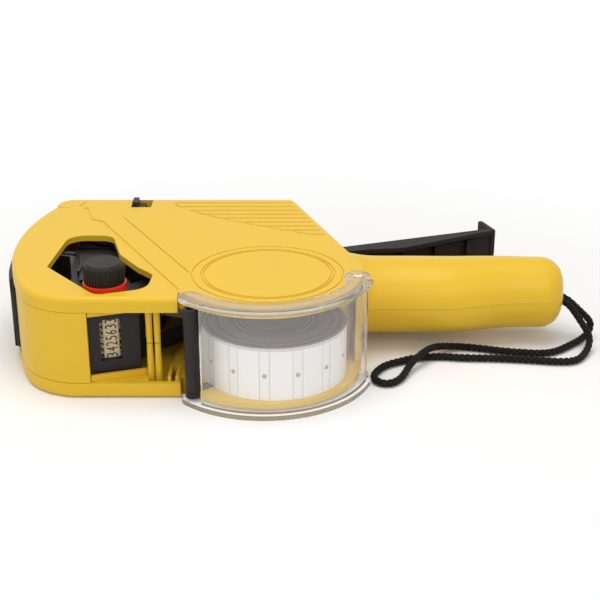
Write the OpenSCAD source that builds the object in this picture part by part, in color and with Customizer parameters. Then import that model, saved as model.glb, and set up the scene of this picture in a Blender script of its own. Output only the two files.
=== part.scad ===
// Hand-held price labeler lying on its left side: nose at -X, handle at +X, lever at +Y.
// The origin is on the rest plane, under the axis of the round label compartment.

/* [Body] */
// Thickness over both shells
body_h = 42.5; // [41:0.5:48]
// Compartment axis to the front wall
front_d = 24.5; // [23.5:0.5:26]
// Compartment axis to the back edge
back_d = 95; // [94:0.5:99]
// Compartment axis to the nose tip
nose_l = 106.4; // [105:0.2:112]
// Radius of the nose curve
nose_r = 119; // [112:1:128]
// Radius of the front nose corner
corner_r = 26; // [22:0.5:28]
// Compartment axis to the slanted edge above the lever
slant_d = 41; // [40:0.5:46]
// Angle of the slanted edge's normal
slant_a = 19; // [17:0.5:21]
// Side wall thickness
wall = 2.2; // [1.6:0.1:2.6]
// Face plate thickness
plate = 2.5; // [2:0.1:3]
// Rounding of the outer edges
edge_r = 2.2; // [1:0.1:2.4]
// Depth of the right shell's skirt along the front
skirt_h = 6.1; // [5.4:0.1:7]
// Height of the left shell's lip along the front
lip_h = 6.5; // [6:0.1:7]

/* [Handle] */
// Compartment axis to the end of the handle
handle_end = 124.6; // [116:0.2:140]
// Far side of the handle, along its straight back
handle_far = 48.1; // [45:0.1:48.5]
// Depth of the palm swell
palm_d = 34.2; // [31:0.2:36]
// Depth of the waist near the end
waist_d = 28.4; // [25:0.2:30]
// Half thickness of the grip
grip_h = 16; // [14:0.2:17]
// Rounding of the handle's end
end_r = 9; // [6:0.5:11]

/* [Label compartment] */
// Radius of the shells round the compartment
drum_r = 38; // [37.5:0.1:38.5]
// Radius of the label roll
roll_r = 28.5; // [24:0.5:28.5]
// Width of the label strip
label_w = 22; // [18:0.5:22]
// Radius of the roll's core
core_r = 12.5; // [11.5:0.5:14]
// Outer radius of the clear cover's wall
cover_r = 42; // [41:0.1:43]
// Thickness of the clear cover's wall
cover_t = 1.8; // [1.2:0.1:2.2]
// Thickness of the clear cover's rims
rim_t = 2.2; // [1.6:0.1:2.3]
// Width of the clear cover's rims
rim_w = 9; // [8:0.1:10]
// Diameter of the bar the cover turns on
bar_d = 5.8; // [5:0.2:8.4]

/* [Print head] */
// Number of type wheels
wheel_count = 7; // [5:1:7]
// Pitch of the type wheels
wheel_pitch = 2.4; // [1.8:0.1:2.4]
// Corner radius of the ten-sided type wheels
type_r = 8.8; // [7.5:0.1:8.8]
// Swing of the print head
head_swing = 62; // [50:1:62]
// Swing of the lever
lever_swing = 15; // [12:1:15]
// Diameter of the selector knob
knob_d = 16; // [12:0.5:16.5]
// Height of the selector knob
knob_h = 8; // [6:0.5:12]
// Diameter of the red collar
collar_d = 17; // [14:0.5:18]
// Radius of the ink roller
ink_r = 5.5; // [4.5:0.1:5.8]

/* [Lever] */
// Length of the lever past its pivot
lever_l = 89.3; // [80:0.1:96]
// Width of the lever across its flanges
lever_w = 22.4; // [20:0.2:23]
// Wall thickness of the lever
lever_t = 2.2; // [1.6:0.1:2.6]
// Diameter of the pivot pins
pin_d = 4; // [3:0.2:4.6]

/* [Feed] */
// Radius of the feed wheel
feed_r = 11; // [9:0.2:11.5]
// Number of feed teeth
feed_teeth = 12; // [8:1:16]
// Thickness of the label strip
web_t = 0.4; // [0.3:0.05:0.5]

/* [Strap] */
// Diameter of the wrist strap's cord
cord_d = 3.3; // [2.6:0.1:3.4]

/* [Hidden] */
$fn = 64;

// Fits
run_gap = 0.05;
part_gap = 0.3;
split_z = body_h / 2;
inner_top = body_h - plate;
band_top = body_h - skirt_h;

// Outline of the body; arcs stand out by meet, so that they cross their neighbours
nose_c = [nose_r - nose_l, 40];
meet = 0.09;
corner_y = corner_r - front_d - meet;
corner_c = [nose_c[0] - sqrt(pow(nose_r + meet - corner_r, 2) - pow(nose_c[1] - corner_y, 2)), corner_y];
corner_a = atan2(corner_c[1] - nose_c[1], corner_c[0] - nose_c[0]) + 360;
front_end = -33;
root_x = 38.5;
root_y = -2;
ear_r = 7;
ear_c = [nose_x(back_d - ear_r) + ear_r - 1.9, back_d - ear_r];
back_corner_r = 4;

// Print head: pivot, wheel axis at rest, and where the swing ends
head_p = [-33, 23];
wheel_c = [-62.5, -8.5];
swing_r = norm(wheel_c - head_p);
rest_a = atan2(wheel_c[1] - head_p[1], wheel_c[0] - head_p[0]) + 360;
end_a = rest_a - head_swing;
head_t = 2.6;
head_h = lever_w + 1;
head_z0 = split_z - head_h / 2 - head_t;
head_z1 = split_z + head_h / 2;
stack_z0 = split_z + 1.15 - wheel_count * wheel_pitch / 2;
stack_z1 = stack_z0 + wheel_count * wheel_pitch;
spacer_r = 6.5;
feed_top = head_z1 - 0.5;
head_top = head_z1 + head_t;
window_a = 17.7;
panel_in = type_r + 0.3;
panel_t = 1.4;
trunnion_r = 2;
tube_r = 4;
shaft_r = 3;
print_gap = 0.4;
sweep_r = 56.5;
ink_a = 208;
ink_c = head_p + (sweep_r + ink_r + 0.5) * [cos(ink_a), sin(ink_a)];
ink_pin_r = 1.3;

// Lever: pivot, linkage to the print head, and the line of its back
lever_p = [17.5, 54];
lever_a = 19.5;
lever_z0 = split_z - lever_w / 2;
lever_z1 = split_z + lever_w / 2;
lever_back = -1;
link_d = norm(head_p - lever_p);
link_a = atan2(head_p[1] - lever_p[1], head_p[0] - lever_p[0]) + 360;
link_r = link_d / (head_swing / lever_swing - 1);
link_pin = head_p + link_r * [cos(link_a + head_swing / 2), sin(link_a + head_swing / 2)];
link_pin_r = 1.6;
arm_l = norm(link_pin - lever_p);
arm_a = atan2(link_pin[1] - lever_p[1], link_pin[0] - lever_p[0]) + 360;
arm_reach = link_d + link_r - arm_l;
pin_r = pin_d / 2;
boss_r = pin_r + 2.2;

// Label compartment
rim_z = body_h + 0.1;
recess_h = rim_t + 0.3;
floor_z = recess_h + 2.4;
roll_c = [3.4, -7.5];
roll_z = floor_z + 0.1;
lug_c = [36, -6.5];
rim_r = cover_r - 3.0 + rim_w / 2;
lug_r = 5;
bar_a = 224.5;
wall_a = bar_a + 10;
bar_c = (rim_r - rim_w / 2) * [cos(bar_a), sin(bar_a)];
cover_pin_r = 1.5;
foot_l = 9;

// Label strip: it leaves the roll, bends round the head pivot and runs over the platen
web_r = type_r + print_gap + web_t / 2;
tan_d = norm(head_p - roll_c);
tan_a = atan2(head_p[1] - roll_c[1], head_p[0] - roll_c[0]) + acos((roll_r + web_t / 2 + 0.1 + web_r) / tan_d);
web_rise = split_z - label_w / 2 - roll_z;
print_d = [cos(end_a), sin(end_a)];
print_n = [cos(end_a - 90), sin(end_a - 90)];
peel_l = 66;
peel_c = head_p + peel_l * print_d + (web_r + 1.1) * print_n;
feed_c = [-62, back_d - 29];
feed_path_r = feed_r + web_t / 2 + 0.15;
feed_axle_r = 2;
feed_w = label_w - 3;
press_r = 3.2;
press_c = feed_c + [feed_path_r + web_t / 2 + 0.15 + press_r, 0];
press_axle_r = 1.2;

// Nose: guard strip and roller
guard_y0 = 10;
guard_y1 = 60;
nose_roller_r = 3;
nose_roller_y = 5;
nose_roller_c = [nose_x(nose_roller_y) + 1.4, nose_roller_y];
ink_hinge_c = [nose_x(-1.5) + 2.4, -1.5];
window_x0 = -67.6;
window_x1 = -45.6;
latch_box = [-63.6, back_d - 12.3, 9.1, 10.5];
screw_c = [[4, back_d - 9], [-40, back_d - 9], [-84, back_d - 23], [31, 10], [66, 30], [108, 32]];
screw_r = 1.4;

function nose_x(y) = nose_c[0] - sqrt(nose_r * nose_r - pow(y - nose_c[1], 2));
function slant_x(y, d = 0) = (slant_d - d - y * sin(slant_a)) / cos(slant_a);
function smooth(t) = let (c = max(0, min(1, t))) c * c * (3 - 2 * c);
function arc(c, r, a0, a1, n) = [for (i = [0:n]) c + r * [cos(a0 + (a1 - a0) * i / n), sin(a0 + (a1 - a0) * i / n)]];

// Edges, corners and openings of the shells
back_c = [slant_x(back_d + meet - back_corner_r, back_corner_r - meet), back_d + meet - back_corner_r];
ear_dist = norm(ear_c - nose_c);
ear_a = atan2(ear_c[1] - nose_c[1], ear_c[0] - nose_c[0])
    + acos((nose_r * nose_r - ear_dist * ear_dist - ear_r * ear_r) / (2 * ear_dist * ear_r));
ear_end = ear_c + ear_r * [cos(ear_a), sin(ear_a)];
nose_a = atan2(ear_end[1] - nose_c[1], ear_end[0] - nose_c[0]);
under_x0 = ear_c[0] + 2;
under_x1 = feed_c[0] + feed_path_r + 2.2;
lever_gap_y = [40, 60];
window_drop = (window_x1 - window_x0) * tan(window_a);
frame_t = 1.3 / cos(window_a);
window_y = 1 - front_d;
window_line = [
    [window_x0, window_y],
    [window_x1, window_y + window_drop],
    [window_x1, window_y + window_drop + frame_t],
    [window_x0, window_y + frame_t]
];
column_r = 1.45;
column_xs = [-44.9, -41.8];
column_y = -18;
screw_in_body = [for (p = screw_c) if (p[0] < root_x) p];
screw_reach = 9;
screw_head_h = 1.8;
core_t = 1.5;
nose_axle_r = 0.9;
web_post_r = 1.9;
web_post_c = head_p + (web_r - web_t / 2 - 0.15 - web_post_r) * [cos(35), sin(35)];
lug_a = atan2(lug_c[1] - bar_c[1], lug_c[0] - bar_c[0]);

// Lines moulded in the right shell's face
line_w = 0.6;
line_depth = 0.4;
ring_c = [0.7, 1.4];
ring_rs = [25.2, 26.4, 30];
step_line = [[-84, 82], [-79.4, 66.1], [-74.2, 63.1], [-33.5, -16.6]];
rib_count = 9;
rib_y0 = back_d - 6.2;
ear_line = [[-96.5, 82.2], [-91.7, 81.7], [-87.4, 83.8], [-85, 90.2]];
rib_pitch = 5.3;

// Handle
flare_x = 46;
flare_l = 20;
waist_x = handle_end - 51;
waist_l = 30;
handle_xs = concat(
    [for (i = [0:5]) flare_x - flare_l * (0.9 - 0.9 * i / 5)],
    [for (i = [1:14]) flare_x + (handle_end - end_r - flare_x) * i / 14],
    [for (i = [1:6]) handle_end - end_r + end_r * sin(15 * i)]
);
strap_depth = 7;
strap_hole_z = 18.7;
strap_holes = [[30, strap_hole_z], [35, strap_hole_z]];

function screw_z(p) = p[0] < root_x ? 0.6 : split_z - grip_h + 1.4;
function slant_y(x, d = 0) = (slant_d - d - x * cos(slant_a)) / sin(slant_a);
function rib_start(i) = [-44.4 + 62.6 * pow(i / (rib_count - 1), 1.5), rib_y0 - i * rib_pitch];
function end_inset(x) = let (t = max(0, (x - handle_end + end_r) / end_r)) end_r * (1 - sqrt(max(0, 1 - t * t)));
function flare(x) = pow(max(0, (flare_x - x) / flare_l), 2);
function grip_near(x) = handle_far - palm_d + (palm_d - waist_d) * smooth((x - waist_x) / waist_l)
    - 6 * flare(x) + end_inset(x);
function grip_far(x) = handle_far - 2 * max(0, (x - 60) / 64) - end_inset(x);
function grip_top(x) = grip_h - 0.8 * smooth((x - waist_x) / 50) + (split_z - grip_h) * flare(x) - end_inset(x);
function handle_ring(x, side) = let (
    far = grip_far(x),
    c = (far + grip_near(x)) / 2,
    ry = (far - grip_near(x)) / 2
) [for (i = [0:18]) [x, c + side * ry * cos(10 * i), split_z + side * grip_top(x) * sin(10 * i)]];
function unit(v) = v / norm(v);
function heading(path, i) = unit(path[min(i + 1, len(path) - 1)] - path[max(i - 1, 0)]);
function tube_ring(path, i, r, sides) = let (
    t = heading(path, i),
    s = unit(cross([0, 0, 1], t)),
    u = cross(t, s)
) [for (k = [0:sides - 1]) path[i] + r * (cos(360 * k / sides) * s + sin(360 * k / sides) * u)];

// Nose, ink cover and label exit
guard_out = 1.6;
exit_w = 5;
exit_y = (head_p + (peel_l + 5) * print_d + web_r * print_n)[1];
ink_cover_t = 1.9;
ink_cover_y1 = 0.3;
ink_hinge_r = 1;
bar_top = inner_top - 0.5;

// Print head details
panel_t0 = -9;
panel_t1 = 11;
spine_r = swing_r - type_r - 6;
type_window = [-4.6, 3.6];
head_block = [
    [-70.5, -12.5], [-79.4, 9.7], [-82.6, 43.4], [-82, 50], [-66.5, 50], [-59.3, 24.4], [-52.9, 1.9], [-54.5, -8]
];
head_rail = [[-82, 48.6], [-82, 50], [-66.5, 50], [-66, 48.6]];
head_step = [[-75.5, 8], [-79.8, 36], [-78.5, 37.8], [-66.5, 37.2], [-60.5, 20], [-55.5, 3]];
step_h = 1.4;
head_clips = [[-77.4, 14.5, 8], [-59.6, 15.5, 4]];
knob_z = body_h + 0.6;
knurl_count = 36;

// Lever details
lever_tip_v = -4;
hook_v = 9.6;
arm_t = 1.5;
lever_ribs = [26, 42, 58, 74];
nest_y = handle_far - palm_d / 2 * (1 - sqrt(1 - pow((lever_w / 2 - lever_t) / grip_h, 2)));
shut_a = lever_a - lever_swing;
shut_w = lever_p[1] - nest_y - 0.8;
spring_wire = 1.1;
spring_turns = 5;
spring_r = boss_r + spring_wire / 2 + 0.3;
spring_pitch = 2.2;
spring_path = [for (i = [0:12 * spring_turns])
    [lever_p[0], lever_p[1], split_z - spring_pitch * spring_turns / 2]
        + [spring_r * cos(30 * i), spring_r * sin(30 * i), spring_pitch * i / 12]];

// Platen, peel plate and under cover
platen_s0 = 30;
platen_s1 = 56;
platen_v = web_r + web_t / 2 + 0.1;
guide_v = web_r - web_t / 2 - 1.7;
guide_s = [[16, 31], [57.2, peel_l]];
peel_r = 0.7;
peel_turn = 1.1;
under_pin_r = 1.5;
under_ribs = [-80, -70];

// Path of the label strip, seen from above
feed_dist = norm(feed_c - peel_c);
feed_head = atan2(feed_c[1] - peel_c[1], feed_c[0] - peel_c[0]) - asin((peel_turn + feed_path_r) / feed_dist);
web_path = concat(
    [roll_c + (roll_r + web_t / 2 + 0.1) * [cos(tan_a), sin(tan_a)]],
    arc(head_p, web_r, tan_a - 180, end_a - 90, 8),
    [head_p + platen_s0 * print_d + web_r * print_n],
    [head_p + platen_s1 * print_d + web_r * print_n],
    arc(peel_c, peel_turn, end_a + 90, feed_head + 90, 6),
    arc(feed_c, feed_path_r, feed_head - 90, 0, 8),
    [[feed_c[0] + feed_path_r, back_d - 1]]
);

// Route of the wrist strap, from one hole in the handle's end to the other
strap_z = 1.75;
strap_route = [
    [handle_end - strap_depth, 35, strap_hole_z], [handle_end, 35, strap_hole_z], [128.1, 34.8, 17.3],
    [133.1, 32.5, 13], [137.8, 33, 8.5], [139.2, 33.8, 5.5], [138.3, 33.2, 2.7], [134.4, 28.2, strap_z],
    [127.6, 21.1, strap_z], [120.3, 15, strap_z], [114.2, 13.2, strap_z], [105.6, 14.1, strap_z], [97, 15.8, strap_z],
    [88.6, 18.3, strap_z], [80.6, 19.4, 2], [74.6, 17, 3.2], [70, 13, 4.9], [66.2, 8.6, 5.6], [63, 4.6, 5.2],
    [59.8, 0.8, 4.2], [57.2, -3.4, 2.9], [55, -8.4, 1.9], [51.6, -13.4, strap_z], [47.6, -15.4, strap_z],
    [44, -13, strap_z], [43, -8, strap_z], [45.6, -2.2, strap_z], [49.6, 2.6, strap_z],
    [55.1, 5.6, strap_z], [61.2, 8.8, strap_z], [67.1, 9.6, strap_z], [72.9, 10, strap_z], [81.5, 8.8, strap_z],
    [90.2, 8.6, strap_z], [98.8, 8, strap_z], [110.2, 6.6, strap_z], [118.7, 5.3, strap_z], [126.9, 6, strap_z],
    [131.8, 12, strap_z], [135.2, 18.4, 3.3], [135.8, 20.6, 6], [133.6, 23.1, 9.5], [131, 25.6, 13],
    [128, 28.8, 16.8], [handle_end, 30, strap_hole_z], [handle_end - strap_depth, 30, strap_hole_z]
];

function lever_near(u) = -shut_w / cos(shut_a) - u * tan(shut_a);
function path_length(path, i) = i == 0 ? 0 : path_length(path, i - 1) + norm(path[i] - path[i - 1]);
function web_z(i) = roll_z + web_rise * smooth(path_length(web_path, i) / path_length(web_path, 10));
function web_ring(i) = let (
    t = heading(web_path, i),
    n = web_t / 2 * [-t[1], t[0]],
    a = web_path[i] + n,
    b = web_path[i] - n
) [
    [a[0], a[1], web_z(i)],
    [b[0], b[1], web_z(i)],
    [b[0], b[1], web_z(i) + label_w],
    [a[0], a[1], web_z(i) + label_w]
];

// Outline of the body, moved inwards by d
module outline(d = 0) {
    difference() {
        intersection() {
            translate(nose_c) circle(nose_r - d);
            polygon([
                [-nose_l - 10, d - front_d],
                [front_end - d, d - front_d],
                [front_end - d, root_y + d],
                [root_x - d, root_y + d],
                [root_x - d, slant_y(root_x - d, d)],
                [slant_x(back_d - d, d), back_d - d],
                [-nose_l - 10, back_d - d]
            ]);
        }
        difference() {
            polygon([
                corner_c,
                [corner_c[0], -front_d - 1],
                [-nose_l - 10, -front_d - 1],
                nose_c + (nose_r + 10) * [cos(corner_a), sin(corner_a)]
            ]);
            translate(corner_c) circle(corner_r - d);
        }
        difference() {
            polygon([
                back_c,
                [back_c[0], back_d + 1],
                [slant_x(back_d) + 5, back_d + 1],
                back_c + (back_corner_r + 1) * [cos(slant_a), sin(slant_a)]
            ]);
            translate(back_c) circle(back_corner_r - d);
        }
    }
    circle(drum_r - d);
    translate(ear_c) circle(ear_r - d);
}

// Profile of the waste outside a rounded edge whose corner is at the origin
module edge_waste() {
    difference() {
        translate([-edge_r, -edge_r]) square(edge_r + 1);
        translate([-edge_r, -edge_r]) circle(edge_r);
    }
}

// Waste along a straight edge that starts at p and whose outward normal has angle a
module line_waste(p, a, l) {
    translate(p) rotate([90, 0, a]) linear_extrude(l) edge_waste();
}

// Waste along an arc from angle a0 to angle a1
module arc_waste(c, r, a0, a1) {
    translate(c) rotate(a0) rotate_extrude(angle = a1 - a0) translate([r, 0]) edge_waste();
}

// Waste round the top face, with the face at z = 0
module rim_waste() {
    line_waste([front_end + 1, -front_d], -90, front_end - corner_c[0] + 4);
    arc_waste(corner_c, corner_r, corner_a, 270);
    arc_waste(nose_c, nose_r, nose_a, corner_a + 1.5);
    arc_waste(ear_c, ear_r, 90, ear_a);
    line_waste([ear_c[0], back_d], 90, back_c[0] - ear_c[0] + 2);
    arc_waste(back_c, back_corner_r, slant_a, 90);
    line_waste([slant_x(back_d - 1), back_d - 1], slant_a, (back_d - slant_y(root_x)) / cos(slant_a));
}

module post(p, r, z0, z1) {
    translate([p[0], p[1], z0]) cylinder(r = r, h = z1 - z0);
}

module tube(p, r, bore, z0, z1) {
    difference() {
        post(p, r, z0, z1);
        post(p, bore, z0 - 1, z1 + 1);
    }
}

module slab(z0, z1) {
    translate([0, 0, z0]) linear_extrude(z1 - z0) children();
}

// Pie slice of the plane about the origin
module sector(a0, a1) {
    far = 120;
    polygon(concat([[0, 0]], [for (i = [0:6]) far * [cos(a0 + (a1 - a0) * i / 6), sin(a0 + (a1 - a0) * i / 6)]]));
}

// Polygon with its convex corners rounded, one radius per corner, 0 keeps it sharp
module rounded_polygon(pts, radii) {
    n = len(pts);
    difference() {
        polygon(pts);
        for (i = [0:n - 1]) {
            if (radii[i] > 0) corner_waste(pts[i], pts[(i + n - 1) % n], pts[(i + 1) % n], radii[i]);
        }
    }
}

module corner_waste(v, before, after, r) {
    u0 = (before - v) / norm(before - v);
    u1 = (after - v) / norm(after - v);
    half = acos(u0 * u1) / 2;
    mid = (u0 + u1) / norm(u0 + u1);
    c = v + mid * r / sin(half);
    difference() {
        polygon([v - mid, v + u0 * r / tan(half), c, v + u1 * r / tan(half)]);
        translate(c) circle(r);
    }
}

// Solid through a list of rings that have the same number of points
module loft(rings) {
    n = len(rings);
    m = len(rings[0]);
    polyhedron(
        points = [for (ring = rings) each ring],
        faces = concat(
            [[for (j = [0:m - 1]) j]],
            [for (i = [0:n - 2]) for (j = [0:m - 1]) each [
                [i * m + j, (i + 1) * m + j, (i + 1) * m + (j + 1) % m],
                [i * m + j, (i + 1) * m + (j + 1) % m, i * m + (j + 1) % m]
            ]],
            [[for (j = [0:m - 1]) n * m - 1 - j]]
        )
    );
}

// Round tube along a list of points
module swept_tube(path, r, sides) {
    loft([for (i = [0:len(path) - 1]) tube_ring(path, i, r, sides)]);
}

// Half of the handle: side 1 is above the seam, side -1 below it
module handle_half(side) {
    loft([for (x = handle_xs) handle_ring(x, side)]);
}

// Both shells in one, hollow, with rounded edges
module casing() {
    difference() {
        slab(0, body_h) outline();
        translate([0, 0, body_h]) rim_waste();
        mirror([0, 0, 1]) rim_waste();
        slab(plate, inner_top) outline(wall);
        slab(lip_h, band_top) front_band();
        slab(plate, inner_top) sector(217, 358);
        slab(lip_h, band_top) translate([under_x0, back_d - 2 * wall]) square([under_x1 - under_x0, 3 * wall]);
        slab(lip_h, band_top) translate(ear_c) circle(ear_r + part_gap);
        slab(lever_z0 - 0.5, lever_z1 + 0.5) lever_gap();
    }
}

// Where the window, the ink cover and the nose guard interrupt the side wall
module front_band() {
    polygon([
        [-nose_l - 10, -front_d - 1],
        [front_end + 6, -front_d - 1],
        [front_end + 6, 0],
        [corner_c[0], corner_c[1]],
        [-nose_l + 20, guard_y1],
        [-nose_l - 10, guard_y1]
    ]);
}

module lever_gap() {
    polygon([
        [slant_x(lever_gap_y[0]) - 8, lever_gap_y[0]],
        [slant_x(lever_gap_y[0]) + 8, lever_gap_y[0]],
        [slant_x(lever_gap_y[1]) + 8, lever_gap_y[1]],
        [slant_x(lever_gap_y[1]) - 8, lever_gap_y[1]]
    ]);
}

// Slanted frame behind the window, and the ledge that joins it to the front wall
module window_frame() {
    polygon(window_line);
}

module window_ledge() {
    polygon([
        [window_x0, wall / 2 - front_d],
        [window_x1, wall / 2 - front_d],
        window_line[2],
        window_line[3]
    ]);
}

module knob_opening() {
    rounded_polygon(
        [[-88, 8], [-85, 45], [-66.5, 44.5], [-60.5, 22], [-51.5, 7.5], [-44.5, -0.5], [-45.5, -15], [-64.5, -21.5]],
        [1, 8, 6, 0, 0, 5, 8, 5]
    );
}

// Straight groove from p to q in a face at height z
module groove(p, q, w, depth, z) {
    translate([p[0], p[1], z - depth]) rotate(atan2(q[1] - p[1], q[0] - p[0])) translate([0, -w / 2])
        cube([norm(q - p), w, depth + 1]);
}

// Shallow lines moulded in the right shell's face
module face_lines() {
    for (r = ring_rs) {
        translate([ring_c[0], ring_c[1], body_h - line_depth]) difference() {
            cylinder(r = r + line_w / 2, h = 1);
            translate([0, 0, -1]) cylinder(r = r - line_w / 2, h = 3);
        }
    }
    for (i = [0:len(step_line) - 2]) groove(step_line[i], step_line[i + 1], 3 * line_w, line_depth, body_h);
    groove([-65, 68.5], [-30.7, 2], line_w, line_depth, body_h);
    for (i = [0:len(ear_line) - 2]) groove(ear_line[i], ear_line[i + 1], line_w, line_depth, body_h);
    for (i = [0:rib_count - 1]) {
        groove(rib_start(i), [slant_x(rib_start(i)[1], edge_r + 1), rib_start(i)[1]], 1.6 * line_w, line_depth, body_h);
        if (i > 0) {
            groove(rib_start(i), rib_start(i) + 0.7 * (rib_start(i - 1) - rib_start(i)), line_w, line_depth, body_h);
        }
    }
}

module right_shell() {
    color("goldenrod") difference() {
        union() {
            intersection() {
                casing();
                slab(split_z, body_h) square(400, center = true);
            }
            handle_half(1);
            for (p = screw_in_body) tube(p, screw_r + 2.2, screw_r + run_gap, split_z, inner_top + 0.5);
            tube(lever_p, boss_r, pin_r + run_gap, lever_z1 + 0.3, inner_top + 0.5);
            tube(head_p, trunnion_r + 2.2, trunnion_r + run_gap, head_top + 0.3, inner_top + 0.5);
            slab(band_top - 2.4, inner_top + 0.5) window_frame();
            slab(band_top, band_top + 1.6) window_ledge();
            for (x = column_xs) {
                translate([x, column_y, split_z + 0.2]) cylinder(r1 = column_r - 0.25, r2 = column_r, h = inner_top - split_z);
            }
        }
        slab(inner_top - 1, body_h + 1) knob_opening();
        slab(inner_top - 1, body_h + 1) translate([latch_box[0], latch_box[1]]) square([latch_box[2], latch_box[3]]);
        for (p = screw_c) post(p, screw_r + run_gap, split_z - 1, split_z + screw_reach);
        post(nose_roller_c, nose_axle_r + run_gap, band_top - 1, band_top + 2);
        post(ink_hinge_c, ink_hinge_r + run_gap, band_top - 1, inner_top);
        face_lines();
    }
}

module left_shell() {
    color("goldenrod") difference() {
        union() {
            intersection() {
                casing();
                slab(0, split_z) square(400, center = true);
            }
            handle_half(-1);
            slab(plate - 0.5, floor_z) circle(drum_r);
            post(roll_c, core_r - core_t - 0.5, floor_z - 0.5, roll_z + label_w - 3);
            for (p = screw_in_body) post(p, screw_r + 2.4, plate - 0.5, split_z);
            tube(lever_p, boss_r, pin_r + run_gap, plate - 0.5, lever_z0 - 0.3);
            tube(head_p, trunnion_r + 2.2, trunnion_r + run_gap, plate - 0.5, head_z0 - 0.3);
            slab(plate - 0.5, lip_h + 2.7) window_frame();
            slab(lip_h - 1.6, lip_h) window_ledge();
            post(web_post_c, web_post_r, floor_z - 0.5, lever_z1 - lever_t - 1.6);
            for (x = column_xs) {
                translate([x, column_y, plate - 0.5]) cylinder(r1 = column_r, r2 = column_r - 0.25, h = split_z - plate + 0.3);
            }
            for (x = [front_end - 5, front_end - 2]) {
                translate([x, wall - front_d, plate - 0.5]) cube([1.2, 12, lip_h - plate + 2.5]);
            }
        }
        slab(-1, recess_h) rim_recess();
        slab(recess_h, floor_z + 1) post_foot(run_gap);
        post(bar_c, bar_d / 2 + 0.5, floor_z, split_z);
        for (p = screw_c) {
            post(p, screw_r + run_gap, -1, split_z + 1);
            post(p, screw_r + 1.5, -1, screw_z(p) + screw_head_h);
        }
        post(nose_roller_c, nose_axle_r + run_gap, lip_h - 2, lip_h + 1);
        post(ink_hinge_c, ink_hinge_r + run_gap, plate, lip_h + 1);
        for (p = strap_holes) {
            translate([handle_end - strap_depth - 0.2, p[0], p[1]]) rotate([0, 90, 0]) cylinder(r = cord_d / 2 + 0.15, h = 30);
        }
    }
}

// Foot of the post the cover turns on, let into the compartment's floor
module post_foot(gap = 0) {
    translate(bar_c) circle(bar_d / 2 + gap);
    translate(bar_c) rotate(bar_a + 180) translate([0, -2.5 - gap]) square([foot_l + gap, 5 + 2 * gap]);
}

// Recess under the compartment that takes the cover's lower rim
module rim_recess() {
    intersection() {
        difference() {
            circle(rim_r + 10);
            circle(rim_r - rim_w - part_gap);
        }
        sector(bar_a, 345);
    }
    translate(bar_c) circle(rim_w / 2 + part_gap);
    for (s = [0, 2, 4]) translate(lug_c + s * [sin(lug_a), -cos(lug_a)]) circle(lug_r + part_gap);
}

// Screws from the underside, all alike
module shell_screws() {
    color("silver") for (p = screw_c) {
        post(p, screw_r, screw_z(p), split_z + screw_reach - 0.5);
        post(p, screw_r + 1.4, screw_z(p), screw_z(p) + screw_head_h);
    }
}

// Dark strip on the nose with the slot where labels come out
module nose_guard() {
    color([0.12, 0.12, 0.12]) difference() {
        slab(lip_h, band_top) intersection() {
            difference() {
                translate(nose_c) circle(nose_r + guard_out);
                translate(nose_c) circle(nose_r - wall);
            }
            translate([-nose_l - 10, guard_y0]) square([40, guard_y1 - guard_y0]);
        }
        slab(split_z - label_w / 2 - 1, split_z + label_w / 2 + 1)
            translate([-nose_l - 10, exit_y - exit_w / 2]) square([40, exit_w]);
    }
}

module nose_roller() {
    color([0.12, 0.12, 0.12]) {
        post(nose_roller_c, nose_roller_r, split_z - 4, split_z + 11);
        post(nose_roller_c, nose_roller_r - 1, split_z - 12, split_z - 4);
        post(nose_roller_c, nose_axle_r, lip_h - 1.5, band_top + 1.5);
    }
}

module ink_cover() {
    color("goldenrod") difference() {
        union() {
            slab(lip_h + 0.15, band_top - 0.15) intersection() {
                difference() {
                    outline();
                    outline(ink_cover_t);
                }
                polygon([
                    [-nose_l - 10, -front_d - 1],
                    [window_x0 - 0.2, -front_d - 1],
                    [window_x0 - 0.2, corner_c[1]],
                    [corner_c[0], ink_cover_y1],
                    [-nose_l - 10, ink_cover_y1]
                ]);
            }
            post(ink_hinge_c, ink_hinge_r + 1, lip_h + 0.15, band_top - 0.15);
        }
        post(ink_hinge_c, ink_hinge_r + run_gap, lip_h - 1, band_top + 1);
    }
}

module ink_cover_pin() {
    color("silver") post(ink_hinge_c, ink_hinge_r, plate, inner_top);
}

module ink_roller() {
    color([0.15, 0.13, 0.2]) tube(ink_c, ink_r, ink_pin_r + run_gap, head_z0 + head_t, head_z1);
}

module ink_axle() {
    color("silver") post(ink_c, ink_pin_r, plate, inner_top);
}

// Rim of the clear cover, seen from above
module cover_rim() {
    intersection() {
        difference() {
            circle(rim_r);
            circle(rim_r - rim_w);
        }
        sector(bar_a, 345);
    }
    translate(bar_c) circle(rim_w / 2);
    translate(lug_c) circle(lug_r);
}

module label_cover() {
    color([0.85, 0.9, 0.92, 0.4]) difference() {
        union() {
            slab(rim_z, rim_z + rim_t) cover_rim();
            slab(0.1, 0.1 + rim_t) cover_rim();
            slab(0.1, rim_z + rim_t) intersection() {
                difference() {
                    circle(cover_r);
                    circle(cover_r - cover_t);
                }
                sector(wall_a, 342);
            }
            post(lug_c, lug_r / 2, rim_z + rim_t, rim_z + rim_t + 0.8);
        }
        post(bar_c, bar_d / 2 + run_gap, rim_t + 0.1, bar_top);
    }
}

// Sleeve on the post, turning with the clear cover
module cover_bar() {
    color([0.12, 0.12, 0.12]) tube(bar_c, bar_d / 2, cover_pin_r + run_gap, floor_z + 0.1, bar_top);
}

module cover_post() {
    color([0.12, 0.12, 0.12]) {
        slab(recess_h, floor_z) post_foot();
        post(bar_c, cover_pin_r, floor_z - 0.5, bar_top - 5);
    }
}

module label_roll() {
    color("white") tube(roll_c, roll_r, core_r, roll_z, roll_z + label_w);
}

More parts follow.
